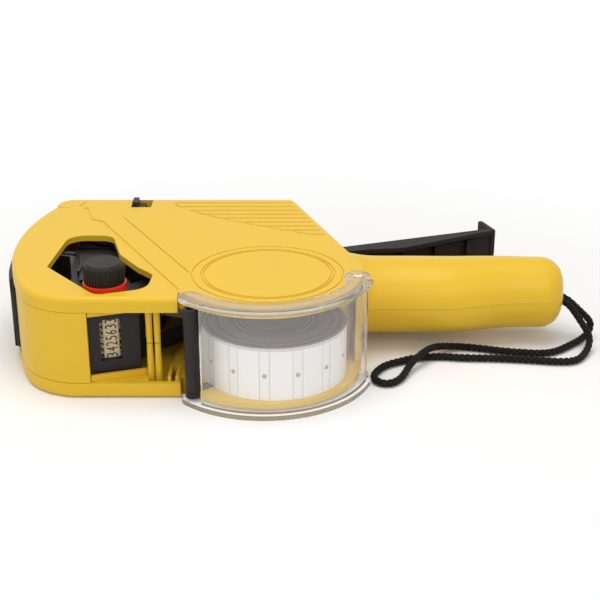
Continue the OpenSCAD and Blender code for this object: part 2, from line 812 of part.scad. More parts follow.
// Core of the roll, closed at the top
module roll_core() {
    color("tan") {
        tube(roll_c, core_r, core_r - core_t, roll_z, roll_z + label_w - core_t / 2);
        post(roll_c, core_r, roll_z + label_w - core_t, roll_z + label_w);
    }
}

module label_web() {
    color("ivory") loft([for (i = [0:len(web_path) - 1]) web_ring(i)]);
}

// Side plate of the print head, seen from above
module head_plate() {
    translate(head_p) circle(trunnion_r + 2.5);
    translate(wheel_c) circle(type_r + 0.3);
    translate(head_p) rotate(rest_a) translate([0, -5]) square([swing_r, 10]);
    translate(wheel_c) rotate(window_a) translate([panel_t0, -panel_in - panel_t])
        square([panel_t1 - panel_t0, panel_in + panel_t]);
}

module head_frame() {
    color([0.15, 0.15, 0.16]) difference() {
        union() {
            slab(head_z0, head_z0 + head_t) head_plate();
            slab(head_z1, head_top) head_plate();
            slab(head_z1, head_top) polygon(head_block);
            slab(head_top - 0.5, head_top + step_h) polygon(head_step);
            slab(head_z1, inner_top - 0.7) polygon(head_rail);
            for (c = head_clips) translate([c[0], c[1], head_top]) cube([1.2, c[2], step_h + 1.2]);
            tube(wheel_c, spacer_r, tube_r + run_gap, stack_z1 + 0.05, head_z1 + 0.5);
            slab(head_z1, head_top) translate(link_pin) circle(link_pin_r + 2.2);
            slab(head_z0, head_top) translate(wheel_c) rotate(window_a)
                translate([panel_t0, -panel_in - panel_t]) square([panel_t1 - panel_t0, panel_t]);
            slab(head_z0, head_top) translate(head_p) rotate(rest_a) translate([spine_r, -5]) square([3.5, 10]);
            post(head_p, trunnion_r, plate + 0.3, head_z0 + 1);
            post(head_p, trunnion_r, head_top - 1, inner_top - 0.3);
            post(link_pin, link_pin_r, lever_z1 - lever_t - 0.4, head_z1 + 1);
        }
        slab(stack_z0 - 0.2, stack_z1 + 0.2) translate(wheel_c) rotate(window_a)
            translate([type_window[0], -panel_in - panel_t - 1]) square([type_window[1] - type_window[0], panel_t + 1.5]);
        post(wheel_c, shaft_r + run_gap, head_z0 - 1, head_top + 1);
    }
}

module wheel_tube() {
    color("dimgray") {
        tube(wheel_c, tube_r, shaft_r + run_gap, head_z0 + head_t, head_z1);
        tube(wheel_c, spacer_r, shaft_r + run_gap, head_z0 + head_t, stack_z0 - 0.05);
    }
}

// One type wheel: ten flats, one facing the window
module type_wheel(i) {
    z0 = stack_z0 + i * wheel_pitch;
    color("darkkhaki") difference() {
        translate([wheel_c[0], wheel_c[1], z0 + 0.05]) rotate(window_a - 90 + 18)
            cylinder(r = type_r, h = wheel_pitch - 0.1, $fn = 10);
        post(wheel_c, tube_r + run_gap, z0 - 1, z0 + wheel_pitch + 1);
    }
}

module selector_shaft() {
    color("silver") post(wheel_c, shaft_r, head_z0 + 0.2, knob_z + knob_h - 2);
}

module selector_collar() {
    color("red") tube(wheel_c, collar_d / 2, shaft_r + run_gap, head_top, knob_z - 0.2);
}

// Knob with a knurled rim and a shallow dished top
module selector_knob() {
    color([0.1, 0.1, 0.1]) difference() {
        union() {
            post(wheel_c, knob_d / 2 - 0.35, knob_z, knob_z + knob_h - 1.2);
            translate([wheel_c[0], wheel_c[1], knob_z + knob_h - 1.2])
                cylinder(r1 = knob_d / 2 - 0.35, r2 = knob_d / 2 - 1.2, h = 1.2);
            for (i = [0:knurl_count - 1]) {
                translate([wheel_c[0], wheel_c[1], knob_z]) rotate(360 * i / knurl_count)
                    translate([knob_d / 2 - 0.7, -0.35]) cube([0.7, 0.7, knob_h - 1.6]);
            }
        }
        post(wheel_c, shaft_r + run_gap, knob_z - 1, knob_z + knob_h - 2 + run_gap);
    }
}

// Flange of the lever, in the lever's own frame: u along it, v away from the handle
module lever_flange() {
    circle(boss_r + 1.6);
    polygon([
        [0, lever_back],
        [lever_l, lever_back],
        [lever_l, lever_tip_v],
        [40, lever_near(40)],
        [24, lever_near(24) + 2],
        [12, -7],
        [0, -6]
    ]);
}

module lever_place() {
    translate(lever_p) rotate(lever_a) children();
}

module trigger_lever() {
    color([0.2, 0.19, 0.2]) difference() {
        union() {
            slab(lever_z1 - lever_t, lever_z1) lever_place() lever_flange();
            slab(lever_z0, lever_z0 + lever_t) lever_place() lever_flange();
            slab(lever_z0, lever_z1) lever_place() translate([7, lever_back - lever_t]) square([lever_l - 7, lever_t]);
            slab(lever_z0, lever_z1) lever_place() translate([lever_l - lever_t, lever_tip_v])
                square([lever_t, hook_v - lever_tip_v]);
            for (u = lever_ribs) {
                slab(lever_z0, lever_z1) lever_place() translate([u, lever_back - 5]) square([1.4, 5]);
            }
            post(lever_p, boss_r, lever_z0, lever_z1);
            slab(lever_z1 - arm_t, lever_z1) translate(lever_p) rotate(arm_a) difference() {
                union() {
                    translate([0, -4.2]) square([arm_l + arm_reach + 1.2, 8.4]);
                    translate([arm_l + arm_reach + 1.2, 0]) circle(4.2);
                }
                translate([arm_l - 1.2, -link_pin_r - 0.6]) square([arm_reach + 2.4, 2 * link_pin_r + 1.2]);
                translate([arm_l - 1.2, 0]) circle(link_pin_r + 0.6);
                translate([arm_l + arm_reach + 1.2, 0]) circle(link_pin_r + 0.6);
            }
        }
        post(lever_p, pin_r + run_gap, lever_z0 - 1, lever_z1 + 1);
    }
}

module lever_pin() {
    color("silver") post(lever_p, pin_r, plate, inner_top);
}

module return_spring() {
    color("silver") swept_tube(spring_path, spring_wire / 2, 6);
}

module print_place() {
    translate(head_p) rotate(end_a) mirror([0, 1]) children();
}

// Plate behind the strip, and the two guides in front of it on one base
module platen() {
    color([0.12, 0.12, 0.12]) {
        slab(plate, feed_top) print_place() translate([platen_s0, platen_v]) square([platen_s1 - platen_s0, 4]);
        for (s = guide_s) {
            slab(plate, feed_top) print_place() translate([s[0], guide_v]) square([s[1] - s[0], 1.2]);
            slab(plate, head_z0 - 0.4) print_place() translate([s[0], guide_v])
                square([s[1] - s[0], platen_v + 4 - guide_v]);
        }
        slab(plate, head_z0 - 0.4) print_place() translate([guide_s[0][0], platen_v])
            square([guide_s[1][1] - guide_s[0][0], 4]);
    }
}

module peel_plate() {
    color("silver") {
        slab(split_z - label_w / 2 - 0.5, split_z + label_w / 2 + 0.5) print_place()
            translate([platen_s1, web_r + peel_turn - peel_r]) square([peel_l - platen_s1, 2 * peel_r]);
        post(peel_c, peel_r, split_z - label_w / 2 - 0.5, split_z + label_w / 2 + 0.5);
    }
}

module feed_wheel() {
    color("dimgray") difference() {
        union() {
            post(feed_c, feed_r - 1, split_z - feed_w / 2, split_z + feed_w / 2);
            for (i = [0:feed_teeth - 1]) {
                slab(split_z - feed_w / 2, split_z + feed_w / 2) translate(feed_c) rotate(360 * i / feed_teeth)
                    polygon([[feed_r - 2, -1.2], [feed_r, -0.6], [feed_r, 0.6], [feed_r - 2, 1.2]]);
            }
        }
        post(feed_c, feed_axle_r + run_gap, 0, body_h);
    }
}

module feed_axle() {
    color("silver") post(feed_c, feed_axle_r, plate, feed_top);
}

module pressure_roller() {
    color([0.12, 0.12, 0.12]) tube(press_c, press_r, press_axle_r + run_gap, split_z - feed_w / 2, split_z + feed_w / 2);
}

module pressure_axle() {
    color("silver") post(press_c, press_axle_r, plate, feed_top);
}

// Hinged panel that opens the feed path
module under_cover() {
    color("goldenrod") difference() {
        union() {
            slab(lip_h + 0.15, band_top - 0.15) translate([ear_c[0], back_d - wall])
                square([under_x1 - 4.6 - ear_c[0], wall]);
            post(ear_c, ear_r, lip_h + 0.15, band_top - 0.15);
            for (x = under_ribs) {
                slab(lip_h + 3, band_top - 3) translate([x, back_d - wall - 3]) square([1.4, 4]);
            }
        }
        post(ear_c, under_pin_r + run_gap, lip_h - 1, band_top + 1);
    }
}

module under_cover_pin() {
    color("silver") post(ear_c, under_pin_r, plate, inner_top);
}

// Hooked slider in the notch of the right shell
module cover_latch() {
    color([0.12, 0.12, 0.12]) {
        translate([latch_box[0] + 0.3, latch_box[1] + 2.3, inner_top - 3.2]) cube([2.6, latch_box[3] - 3, plate + 4.8]);
        translate([latch_box[0] + 0.3, latch_box[1] + 2.3, inner_top - 1]) cube([latch_box[2] - 3.4, latch_box[3] - 3, plate - 0.3]);
        translate([latch_box[0] - 3, latch_box[1] + 1.3, inner_top - 3.2]) cube([latch_box[2] + 2.9, latch_box[3] - 3, 3]);
    }
}

module strap_cord() {
    color([0.08, 0.08, 0.08]) swept_tube(strap_route, cord_d / 2, 8);
}

right_shell();
left_shell();
shell_screws();
nose_guard();
nose_roller();
ink_cover();
ink_cover_pin();
ink_roller();
ink_axle();
label_cover();
cover_bar();
cover_post();
label_roll();
roll_core();
label_web();
head_frame();
wheel_tube();
selector_shaft();
selector_collar();
selector_knob();
for (i = [1:wheel_count]) {
    type_wheel(i - 1);
}
trigger_lever();
lever_pin();
return_spring();
platen();
peel_plate();
feed_wheel();
feed_axle();
pressure_roller();
pressure_axle();
under_cover();
under_cover_pin();
cover_latch();
strap_cord();
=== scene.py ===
import math

import bmesh
import bpy
from mathutils import Matrix, Vector


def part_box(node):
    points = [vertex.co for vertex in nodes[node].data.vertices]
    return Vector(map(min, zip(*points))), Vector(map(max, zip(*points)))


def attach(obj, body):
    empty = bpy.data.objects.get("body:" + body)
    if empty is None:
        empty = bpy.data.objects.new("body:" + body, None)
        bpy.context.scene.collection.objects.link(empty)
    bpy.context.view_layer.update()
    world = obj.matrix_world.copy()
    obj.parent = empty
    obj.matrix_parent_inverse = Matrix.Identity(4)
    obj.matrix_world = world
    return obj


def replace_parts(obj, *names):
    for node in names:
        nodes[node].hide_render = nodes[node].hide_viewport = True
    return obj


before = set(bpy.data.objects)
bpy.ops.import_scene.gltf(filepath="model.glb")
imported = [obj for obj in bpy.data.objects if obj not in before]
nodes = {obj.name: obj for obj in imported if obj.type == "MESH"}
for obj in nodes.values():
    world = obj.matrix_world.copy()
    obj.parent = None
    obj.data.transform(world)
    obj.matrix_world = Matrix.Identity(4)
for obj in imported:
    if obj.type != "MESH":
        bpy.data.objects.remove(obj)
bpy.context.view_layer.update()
scene = bpy.context.scene
scene.view_settings.view_transform = "Standard"
mm = 0.001


def metres(*point):
    return Vector(point) * mm


def addObject(name, data):
    obj = bpy.data.objects.new(name, data)
    scene.collection.objects.link(obj)
    return obj


def feed(tree, node, values):
    # each input takes a link from another socket, or a plain value
    for key, value in values.items():
        if isinstance(value, bpy.types.NodeSocket):
            tree.links.new(value, node.inputs[key])
        else:
            node.inputs[key].default_value = value


def addNode(tree, kind, values, **settings):
    node = tree.nodes.new(kind)
    for name, setting in settings.items():
        setattr(node, name, setting)
    feed(tree, node, values)
    return node


def addMath(tree, operation, *values, **settings):
    node = addNode(tree, "ShaderNodeMath", dict(enumerate(values)), operation=operation, **settings)
    return node.outputs[0]


def addFade(tree, value, low, high, start, end, shape="SMOOTHSTEP"):
    # start up to the low value, end from the high one on
    values = {"Value": value, "From Min": low, "From Max": high, "To Min": start, "To Max": end}
    return addNode(tree, "ShaderNodeMapRange", values, interpolation_type=shape).outputs["Result"]


def objectCoords(tree):
    return tree.nodes.new("ShaderNodeTexCoord").outputs["Object"]


def objectAxis(tree, axis):
    return addNode(tree, "ShaderNodeSeparateXYZ", {0: objectCoords(tree)}).outputs[axis]


def mixShaders(tree, share, first, second, output):
    mix = addNode(tree, "ShaderNodeMixShader", {0: share, 1: first.outputs[0], 2: second.outputs[0]})
    feed(tree, tree.nodes[output], {"Surface": mix.outputs[0]})


def newMaterial(name):
    material = bpy.data.materials.new(name)
    material.use_nodes = True
    return material, material.node_tree, material.node_tree.nodes["Principled BSDF"]


cameraView = {
    "place": (13.5, -459.22, 224.91),  # mm, in the part's frame
    "pitch": 22.85,  # degrees below the horizon
    "lens": 75,
    "sensor": 36,
    "nearest": 0.01,  # metres
}
stage = {
    "floorSize": 6.0,  # metres
    "floorColour": (0.92, 0.915, 0.909, 1),
    "floorRoughness": 0.9,
    "floorGloss": 0.1,
    "skyColour": (1.0, 0.99, 0.975, 1),
    "skyLight": 0.45,
    "white": (1, 1, 1, 1),
    "whiteNear": 0.0,  # share of plain white beside the object
    "whiteFar": 1.0,
    "fadeFrom": 0.12,  # metres from the middle
    "fadeTo": 0.3,
}
lamps = {
    # place, aim and size in metres
    "topSoftbox": {"place": (-0.05, -0.03, 0.76), "aim": (0.0, 0.0, 0.0), "size": 0.7, "watts": 3.7},
    "leftSoftbox": {"place": (-0.75, -0.45, 0.5), "aim": (-0.03, 0.0, 0.02), "size": 0.6, "watts": 1.1},
    "frontSoftbox": {"place": (0.35, -0.75, 0.6), "aim": (0.02, 0.0, 0.02), "size": 0.6, "watts": 1.75},
}


def makeCamera():
    camera = bpy.data.cameras.new("photoCamera")
    camera.lens = cameraView["lens"]
    camera.sensor_width = cameraView["sensor"]
    camera.clip_start = cameraView["nearest"]
    holder = addObject("photoCamera", camera)
    holder.location = metres(*cameraView["place"])
    holder.rotation_euler = (math.radians(90 - cameraView["pitch"]), 0, 0)
    scene.camera = holder


def seenDirectly(tree):
    # 1 for rays from the eye, from a gloss or through glass, and 0 for light that lands on something
    path = tree.nodes.new("ShaderNodeLightPath").outputs
    seen = path["Is Camera Ray"]
    for way in ("Is Glossy Ray", "Is Transmission Ray"):
        seen = addMath(tree, "MAXIMUM", seen, path[way])
    return addMath(tree, "SUBTRACT", seen, path["Diffuse Depth"], use_clamp=True)


def makeFloor():
    mesh = bpy.data.meshes.new("floor")
    shape = bmesh.new()
    bmesh.ops.create_grid(shape, x_segments=1, y_segments=1, size=stage["floorSize"] / 2)
    shape.to_mesh(mesh)
    shape.free()
    material, tree, paper = newMaterial("floorPaper")
    feed(tree, paper, {
        "Base Color": stage["floorColour"],
        "Roughness": stage["floorRoughness"],
        "Specular IOR Level": stage["floorGloss"],
    })
    white = addNode(tree, "ShaderNodeEmission", {"Color": stage["white"], "Strength": 1})
    away = addNode(tree, "ShaderNodeVectorMath", {0: objectCoords(tree)}, operation="LENGTH").outputs["Value"]
    fade = addFade(tree, away, stage["fadeFrom"], stage["fadeTo"], stage["whiteNear"], stage["whiteFar"])
    mixShaders(tree, addMath(tree, "MULTIPLY", seenDirectly(tree), fade), paper, white, "Material Output")
    mesh.materials.append(material)
    addObject("floor", mesh)


def makeSky():
    world = bpy.data.worlds.new("studio")
    scene.world = world
    world.use_nodes = True
    tree = world.node_tree
    sky = tree.nodes["Background"]
    feed(tree, sky, {"Color": stage["skyColour"], "Strength": stage["skyLight"]})
    backdrop = addNode(tree, "ShaderNodeBackground", {"Color": stage["white"]})
    mixShaders(tree, seenDirectly(tree), sky, backdrop, "World Output")


def makeLamps():
    for name, lamp in lamps.items():
        light = bpy.data.lights.new(name, "AREA")
        light.shape = "DISK"
        light.size = lamp["size"]
        light.energy = lamp["watts"]
        holder = addObject(name, light)
        holder.location = lamp["place"]
        toward = Vector(lamp["aim"]) - Vector(lamp["place"])
        holder.rotation_euler = toward.to_track_quat("-Z", "Y").to_euler()


makeCamera()
makeFloor()
makeSky()
makeLamps()
print("camera, floor and lamps set")


def addNoise(tree, values, **settings):
    return addNode(tree, "ShaderNodeTexNoise", values, **settings).outputs["Fac"]


def addRamp(tree, value, dark, light):
    # dark and light are each a place on the ramp and a colour
    ramp = addNode(tree, "ShaderNodeValToRGB", {0: value})
    for stop, (place, colour) in zip(ramp.color_ramp.elements, (dark, light)):
        stop.position = place
        stop.color = (*colour, 1)
    return ramp.outputs[0]


def addBump(tree, shader, height, strength, depth):
    values = {"Height": height, "Strength": strength, "Distance": depth * mm}
    feed(tree, shader, {"Normal": addNode(tree, "ShaderNodeBump", values).outputs[0]})


cordLook = {
    "fibre": 2600,  # noise scale
    "detail": 4,
    "dark": (0.3, (0.003, 0.003, 0.003)),
    "light": (0.75, (0.016, 0.013, 0.012)),
    "roughness": 0.62,
    "gloss": 0.16,
    "sheen": 0.02,
    "bump": 0.7,
    "depth": 0.1,  # mm
}


def braidedCord(name):
    # fine fibres on the black strands
    material, tree, shader = newMaterial(name)
    place = objectCoords(tree)
    fibre = addNoise(tree, {"Vector": place, "Scale": cordLook["fibre"], "Detail": cordLook["detail"]})
    feed(tree, shader, {
        "Base Color": addRamp(tree, fibre, cordLook["dark"], cordLook["light"]),
        "Roughness": cordLook["roughness"],
        "Specular IOR Level": cordLook["gloss"],
        "Sheen Weight": cordLook["sheen"],
    })
    addBump(tree, shader, fibre, cordLook["bump"], cordLook["depth"])
    return material


strap = {
    "body": "body",
    "width": 3.3,  # mm
    "strand": 0.5,  # radius of one strand
    "strandRound": 1,  # bevel resolution of a strand
    "around": 0.92,  # radius that the strands wind on
    "weave": 0.22,  # in and out of that radius
    "core": 0.8,
    "turn": 9.5,  # length of one turn
    "strands": 4,  # each way round
    "stepsPerTurn": 16,
    "held": 7,  # length that stays straight in each hole
    "between": 24,  # places on the curve from one route point to the next
    "easing": 26,  # passes of averaging
    "pathEvery": 4,
    "tableZ": 1.75,
}
tableZ = strap["tableZ"]
strapRoute = [
    (117.6, 35, 18.7), (124.6, 35, 18.7), (128.1, 34.8, 17.3), (133.1, 32.5, 13), (137.8, 33, 8.5),
    (139.2, 33.8, 5.5), (138.3, 33.2, 2.7), (134.4, 28.2, tableZ), (127.6, 21.1, tableZ),
    (120.3, 15, tableZ), (114.2, 13.2, tableZ), (105.6, 14.1, tableZ), (97, 15.8, tableZ),
    (88.6, 18.3, tableZ), (80.6, 19.4, 2), (74.6, 17, 3.2), (70, 13, 4.9), (66.2, 8.6, 5.6),
    (63, 4.6, 5.2), (59.8, 0.8, 4.2), (57.2, -3.4, 2.9), (55, -8.4, 1.9), (51.6, -13.4, tableZ),
    (47.6, -15.4, tableZ), (44, -13, tableZ), (43, -8, tableZ), (45.6, -2.2, tableZ),
    (49.6, 2.6, tableZ), (55.1, 5.6, tableZ), (61.2, 8.8, tableZ), (67.1, 9.6, tableZ),
    (72.9, 10, tableZ), (81.5, 8.8, tableZ), (90.2, 8.6, tableZ), (98.8, 8, tableZ),
    (110.2, 6.6, tableZ), (118.7, 5.3, tableZ), (126.9, 6, tableZ), (131.8, 12, tableZ),
    (135.2, 18.4, 3.3), (135.8, 20.6, 6), (133.6, 23.1, 9.5), (131, 25.6, 13), (128, 28.8, 16.8),
    (124.6, 30, 18.7), (117.6, 30, 18.7),
]


def walkEvenly(fine, count):
    # even steps along a line of close points
    total = sum((b - a).length for a, b in zip(fine, fine[1:]))
    even, gone, want = [fine[0]], 0.0, total / count
    for a, b in zip(fine, fine[1:]):
        piece = (b - a).length
        while gone + piece >= want * len(even) - 1e-9 and len(even) < count:
            even.append(a.lerp(b, (want * len(even) - gone) / piece))
        gone += piece
    even.append(fine[-1])
    return even, total


def smoothRoute(points, step):
    # a curve through the points, then eased as a limp cord eases, with its ends held in their holes
    points = [Vector(point) for point in points]
    fine = []
    for index in range(len(points) - 1):
        before = points[max(index - 1, 0)]
        start, end = points[index], points[index + 1]
        after = points[min(index + 2, len(points) - 1)]
        for part in range(strap["between"]):
            t = part / strap["between"]
            bend = (2 * before - 5 * start + 4 * end - after) * t * t
            swing = (3 * start - before - 3 * end + after) * t ** 3
            fine.append(start + 0.5 * ((end - before) * t + bend + swing))
    fine.append(points[-1])
    total = sum((b - a).length for a, b in zip(fine, fine[1:]))
    line, total = walkEvenly(fine, round(total / step))
    held = round(strap["held"] / step)
    for sweep in range(strap["easing"]):
        eased = list(line)
        for index in range(held, len(line) - held):
            eased[index] = (line[index - 1] + 2 * line[index] + line[index + 1]) / 4
        line = eased
    return walkEvenly(line, round(total / step))


def strandLine(line, step, phase, way):
    # a strand that winds round the route and weaves in and out
    out, side = [], Vector((0, 0, 1))
    for index, point in enumerate(line):
        ahead = (line[min(index + 1, len(line) - 1)] - line[max(index - 1, 0)]).normalized()
        side = (side - side.dot(ahead) * ahead).normalized()
        up = ahead.cross(side)
        along = index * step / strap["turn"]
        angle = way * 2 * math.pi * along + phase
        inOut = math.cos(math.pi * (2 * strap["strands"] * along - 0.5))
        reach = strap["around"] + way * strap["weave"] * inOut
        out.append(point + reach * (math.cos(angle) * side + math.sin(angle) * up))
    return out


def curveToMesh(curve):
    holder = addObject(curve.name, curve)
    graph = bpy.context.evaluated_depsgraph_get()
    mesh = bpy.data.meshes.new_from_object(holder.evaluated_get(graph))
    bpy.data.objects.remove(holder)
    bpy.data.curves.remove(curve)
    return mesh


def makeStrap():
    step = strap["turn"] / strap["stepsPerTurn"]
    line, length = smoothRoute(strapRoute, step)
    step = length / (len(line) - 1)
    curve = bpy.data.curves.new("strapLines", "CURVE")
    curve.dimensions = "3D"
    curve.bevel_depth = strap["strand"] * mm
    curve.bevel_resolution = strap["strandRound"]
    curve.use_fill_caps = True
    strands = [(line, strap["core"] / strap["strand"])]
    for number in range(strap["strands"]):
        turn = 2 * math.pi * number / strap["strands"]
        for way in (1, -1):
            phase = turn + (math.pi / strap["strands"] if way < 0 else 0)
            strands.append((strandLine(line, step, phase, way), 1))
    for points, thick in strands:
        spline = curve.splines.new("POLY")
        spline.points.add(len(points) - 1)
        for dot, place in zip(spline.points, points):
            dot.co = (*(place * mm), 1)
            dot.radius = thick
    mesh = curveToMesh(curve)
    mesh.name = "wristStrap"
    mesh.materials.clear()
    mesh.materials.append(braidedCord("cordBraid"))
    mesh.shade_smooth()
    piece = addObject("wristStrap", mesh)
    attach(piece, strap["body"])
    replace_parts(piece, "strap_cord")
    print(f"wrist strap braided, {length:.0f} mm")


makeStrap()


def newGroup(name, kind, inputs, outputs):
    group = bpy.data.node_groups.new(name, kind)
    for way, sockets in (("INPUT", inputs), ("OUTPUT", outputs)):
        for label, socketKind in sockets.items():
            group.interface.new_socket(label, in_out=way, socket_type=socketKind)
    return group, group.nodes.new("NodeGroupInput").outputs, group.nodes.new("NodeGroupOutput")


grainLook = {
    "cloud": 38,  # noise scale of the drift in tone and gloss
    "cloudDetail": 3,
    "pitDetail": 1,
    "glossDrift": 0.12,
}


def makeMouldGrain():
    # spark-eroded mould grain: fine pits, and a faint drift of tone and gloss
    colour, number = "NodeSocketColor", "NodeSocketFloat"
    inputs = {"Colour": colour, "Tone Drift": number, "Roughness": number, "Grain Size": number}
    outputs = {"Colour": colour, "Roughness": number, "Height": number}
    group, start, end = newGroup("mouldGrain", "ShaderNodeTree", inputs, outputs)
    place = objectCoords(group)
    values = {"Vector": place, "Scale": grainLook["cloud"], "Detail": grainLook["cloudDetail"]}
    cloud = addNoise(group, values)
    values = {"Vector": place, "Scale": start["Grain Size"], "Detail": grainLook["pitDetail"]}
    pits = addNoise(group, values)
    centred = addMath(group, "SUBTRACT", cloud, 0.5)
    drift = addMath(group, "MULTIPLY_ADD", centred, start["Tone Drift"], 1.0)
    tone = addNode(group, "ShaderNodeVectorMath", {0: start["Colour"], "Scale": drift}, operation="SCALE")
    gloss = addMath(group, "MULTIPLY_ADD", centred, grainLook["glossDrift"], start["Roughness"])
    feed(group, end, {"Colour": tone.outputs[0], "Roughness": gloss, "Height": pits})
    return group


mouldGrain = makeMouldGrain()
finishes = {
    # colour, roughness, tone drift, grain scale, grain strength, gloss
    # the steel also has its own grain depth in mm, and its share of metal
    "yellowShell": ((0.765, 0.485, 0.027), 0.42, 0.09, 1500, 0.6, 0.26),
    "blackPlastic": ((0.022, 0.02, 0.019), 0.5, 0.1, 2400, 0.4, 0.25),
    "leverPlastic": ((0.022, 0.018, 0.017), 0.55, 0.1, 2000, 0.5, 0.13),
    "headPlastic": ((0.02, 0.016, 0.018), 0.5, 0.1, 2400, 0.4, 0.25),
    "knobPlastic": ((0.023, 0.019, 0.014), 0.52, 0.1, 2000, 0.5, 0.17),
    "redPlastic": ((0.93, 0.045, 0.016), 0.32, 0.04, 2600, 0.1, 0.5),
    "greyPlastic": ((0.22, 0.22, 0.23), 0.4, 0.06, 2600, 0.25, 0.5),
    "rollerRubber": ((0.02, 0.02, 0.02), 0.7, 0.15, 1800, 0.6, 0.2),
    "inkFoam": ((0.02, 0.018, 0.05), 0.8, 0.3, 900, 1.0, 0.2),
    "labelPaper": ((0.95, 0.945, 0.93), 0.5, 0.015, 1600, 0.1, 0.35),
    "linerPaper": ((0.94, 0.935, 0.925), 0.4, 0.02, 1600, 0.1, 0.35),
    "bandPaper": ((0.68, 0.65, 0.7), 0.4, 0.03, 1600, 0.1, 0.35),
    # the beige strips at the label edges are painted shade where the die-cuts are
    "cutLineShade": ((0.6, 0.53, 0.43), 0.5, 0.1, 1600, 0.1, 0.3),
    "markGrey": ((0.4, 0.4, 0.42), 0.5, 0.1, 1600, 0.1, 0.3),
    "typeGold": ((0.66, 0.55, 0.31), 0.3, 0.35, 900, 0.6, 0.8),
    "figureInk": ((0.035, 0.026, 0.018), 0.4, 0.3, 1500, 0.4, 0.4),
    "plainSteel": ((0.62, 0.62, 0.63), 0.32, 0.06, 1500, 0.1, 0.5, 0.03, 1),
}


def grained(name, colour, roughness, drift, scale, strength, gloss, depth=0.04, metal=0):
    material, tree, shader = newMaterial(name)
    values = {"Colour": (*colour, 1), "Tone Drift": drift, "Roughness": roughness, "Grain Size": scale}
    grain = addNode(tree, "ShaderNodeGroup", values, node_tree=mouldGrain).outputs
    feed(tree, shader, {
        "Base Color": grain["Colour"],
        "Roughness": grain["Roughness"],
        "Specular IOR Level": gloss,
        "Metallic": metal,
    })
    addBump(tree, shader, grain["Height"], strength, depth)
    return material


handlePolish = {
    "from": 44,  # mm, where the grained body ends
    "to": 62,
    "roughness": 0.33,
}


def polishHandle(material, bodyRoughness):
    # the grip is smoother than the grained body
    tree = material.node_tree
    low, high = handlePolish["from"] * mm, handlePolish["to"] * mm
    roughness = addFade(tree, objectAxis(tree, "X"), low, high, bodyRoughness, handlePolish["roughness"])
    feed(tree, next(node for node in tree.nodes if node.type == "GROUP"), {"Roughness": roughness})


coverClear = {
    "haze": 0.1,  # share of milky scatter
    "roughness": 0.03,
    "wallTint": (0.98, 0.978, 0.975),
    "rimTint": (0.63, 0.625, 0.615),  # the upper rim is thicker to look through
    "rimFrom": 42.5,  # mm
    "rimBlend": 0.2,
    "bend": 1.25,  # refractive index
    "lampsThrough": (0.97, 0.97, 0.97),
}


def clearPlastic(name):
    # hazy moulded styrene; lamps shine through it, so its shadow stays pale
    material, tree, shader = newMaterial(name)
    low, high = ((coverClear["rimFrom"] + side * coverClear["rimBlend"]) * mm for side in (-1, 1))
    onRim = addFade(tree, objectAxis(tree, "Z"), low, high, 0, 1, "LINEAR")
    tint = addNode(tree, "ShaderNodeMix", {"Factor": onRim}, data_type="RGBA")
    wall, rim = (socket for socket in tint.inputs if socket.type == "RGBA")
    wall.default_value = (*coverClear["wallTint"], 1)
    rim.default_value = (*coverClear["rimTint"], 1)
    feed(tree, shader, {
        "Base Color": next(socket for socket in tint.outputs if socket.type == "RGBA"),
        "Transmission Weight": 1 - coverClear["haze"],
        "Roughness": coverClear["roughness"],
        "IOR": coverClear["bend"],
    })
    path = tree.nodes.new("ShaderNodeLightPath")
    through = addNode(tree, "ShaderNodeBsdfTransparent", {"Color": (*coverClear["lampsThrough"], 1)})
    mixShaders(tree, path.outputs["Is Shadow Ray"], shader, through, "Material Output")
    return material


rollShape = {
    "axis": (3.4, -7.5),  # mm
    "inner": 12.5,
    "outer": 28.36,
    "spinSteps": 120,
    "turns": 24,  # rings that show on the top
    "step": 0.14,  # up and down from ring to ring
    "ripple": (2.1, 0.7),  # makes the rings uneven
    "ringSlope": 0.04,
    "sideDeep": 0.2,  # faces this near the outside are paper
    "crease": 30,  # degrees; sharper edges stay crisp
}
woundShadeLook = {
    "rings": 1000,  # noise scale along the radius
    "detail": 3,
    # the dark and light greys are painted shade: the paper edges are white, shaded by the housing's top
    "dark": (0.3, (0.075, 0.06, 0.062)),
    "light": (0.72, (0.3, 0.255, 0.262)),
    "roughness": 0.6,
    "gloss": 0.3,
    "bump": 0.5,
    "depth": 0.12,  # mm
}


def shadedWoundPaper(name):
    # edges of the wound strip: fine rings round the roll's axis, in greys far below the white paper, which
    # are painted shade from the housing's top above the roll
    material, tree, shader = newMaterial(name)
    fromAxis = {"Vector": objectCoords(tree), "Location": -metres(*rollShape["axis"], 0)}
    centred = addNode(tree, "ShaderNodeMapping", fromAxis).outputs[0]
    flat = addNode(tree, "ShaderNodeVectorMath", {0: centred, 1: (1, 1, 0)}, operation="MULTIPLY").outputs[0]
    radius = addNode(tree, "ShaderNodeVectorMath", {0: flat}, operation="LENGTH").outputs["Value"]
    values = {"W": radius, "Scale": woundShadeLook["rings"], "Detail": woundShadeLook["detail"]}
    rings = addNoise(tree, values, noise_dimensions="1D")
    feed(tree, shader, {
        "Base Color": addRamp(tree, rings, woundShadeLook["dark"], woundShadeLook["light"]),
        "Roughness": woundShadeLook["roughness"],
        "Specular IOR Level": woundShadeLook["gloss"],
    })
    addBump(tree, shader, rings, woundShadeLook["bump"], woundShadeLook["depth"])
    return material


finish = {name: grained(name, *look) for name, look in finishes.items()}
polishHandle(finish["yellowShell"], finishes["yellowShell"][1])
finish["coverPlastic"] = clearPlastic("coverPlastic")
finish["shadedWoundEdge"] = shadedWoundPaper("shadedWoundEdge")
print("materials made")

